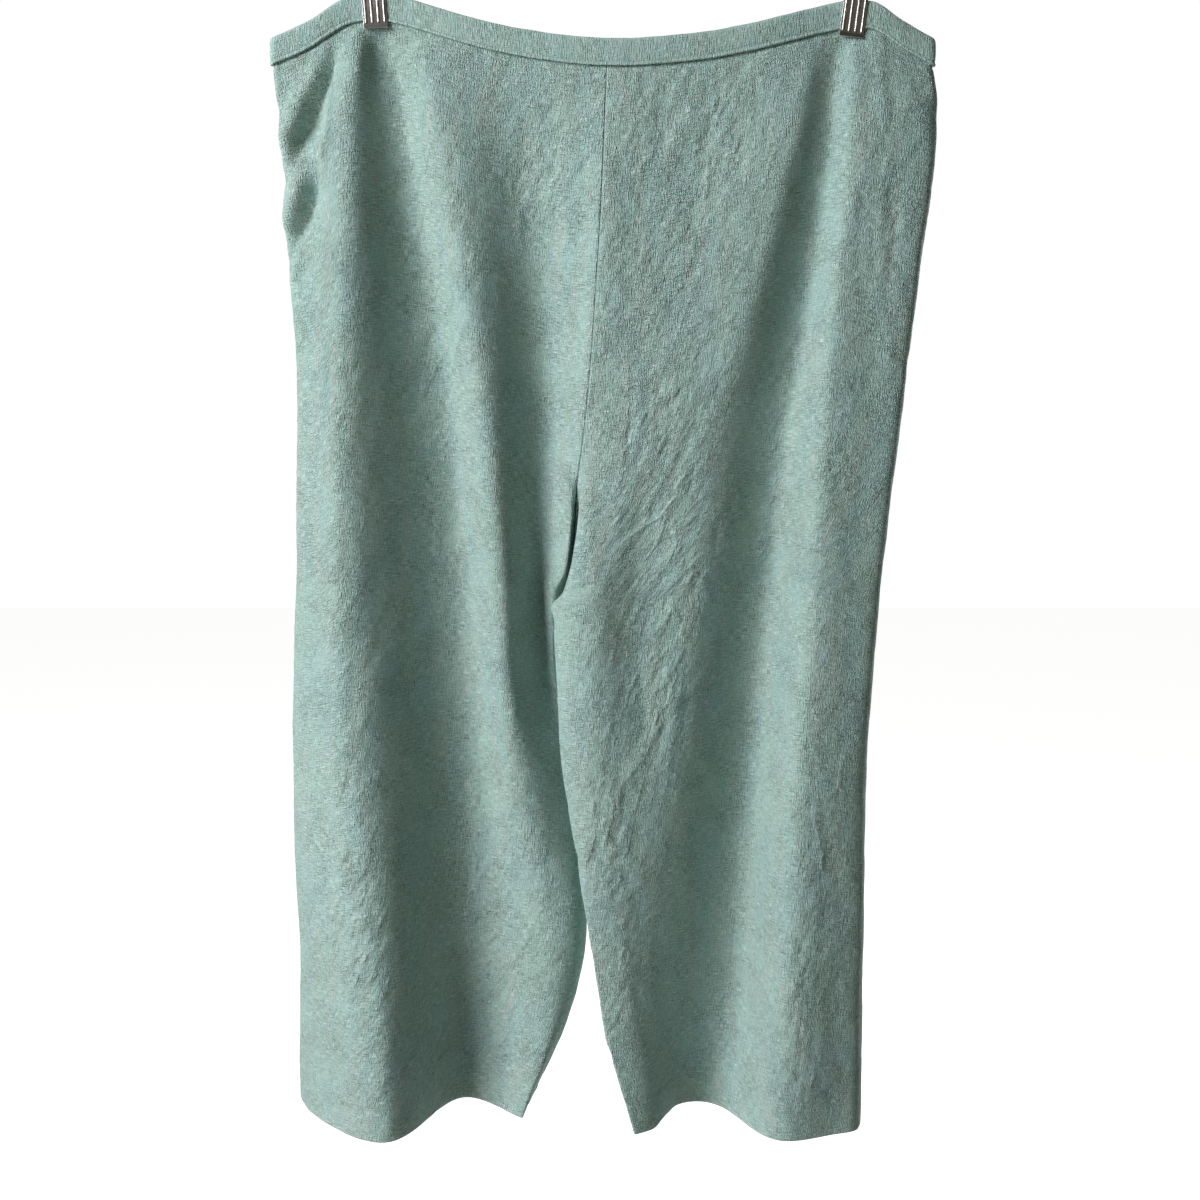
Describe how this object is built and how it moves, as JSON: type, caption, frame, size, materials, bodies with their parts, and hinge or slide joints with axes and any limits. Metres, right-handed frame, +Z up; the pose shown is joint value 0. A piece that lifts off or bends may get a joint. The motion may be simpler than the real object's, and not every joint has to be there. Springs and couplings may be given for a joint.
{
  "type": "linen wide-leg trousers on a clip hanger",
  "caption": "Cropped wide-leg linen trousers with a narrow plain waistband and straight hems, hanging open-legged by the band from a wire hook, crossbar and ribbed metal clips.",
  "frame": {"origin": "inner top of the hanger's hook, where it rests on a rail", "axes": "+Z up along the hook's shank, the front of the trousers faces -Y, +X towards the wearer's left leg"},
  "size_m": [0.5582, 0.1712, 1.0457],
  "materials": {
    "linen": "matte slubby plain weave, mint green",
    "steel": "polished nickel-coloured steel"
  },
  "bodies": {
    "root": {"right_front": "linen", "left_front": "linen", "right_back": "linen", "left_back": "linen", "waistband": "linen", "hook": "steel", "crossbar": "steel", "clip_right_front": "steel", "clip_right_back": "steel", "clip_left_front": "steel", "clip_left_back": "steel"}
  },
  "joints": []
}
